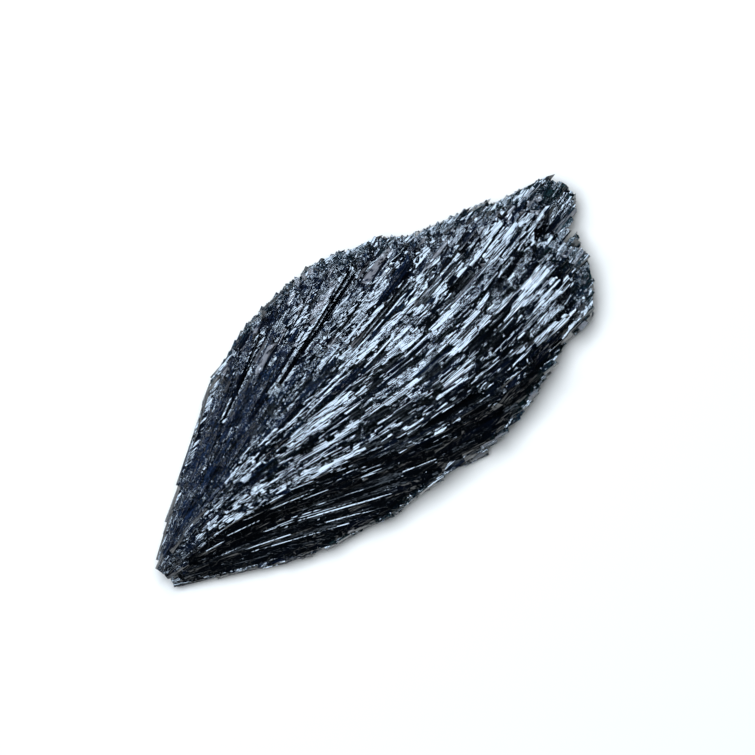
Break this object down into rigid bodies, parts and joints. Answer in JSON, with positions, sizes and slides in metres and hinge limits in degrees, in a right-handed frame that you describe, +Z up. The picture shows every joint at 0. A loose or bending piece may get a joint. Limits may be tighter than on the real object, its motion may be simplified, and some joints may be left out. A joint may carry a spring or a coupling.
{
  "type": "black kyanite fan",
  "caption": "Fan of dark bladed kyanite crystals grown together from one root, lying flat.",
  "frame": {"origin": "under the middle of the fan, at the level that it rests on", "axes": "+X runs from the fan's root towards its tips, +Z is up and is square to the fan's broad side, +Y completes the right-handed frame"},
  "size_m": [0.085, 0.039, 0.013],
  "materials": {
    "black_kyanite": "gloss"
  },
  "bodies": {
    "root": {"kyanite_fan": "black_kyanite"}
  },
  "joints": []
}
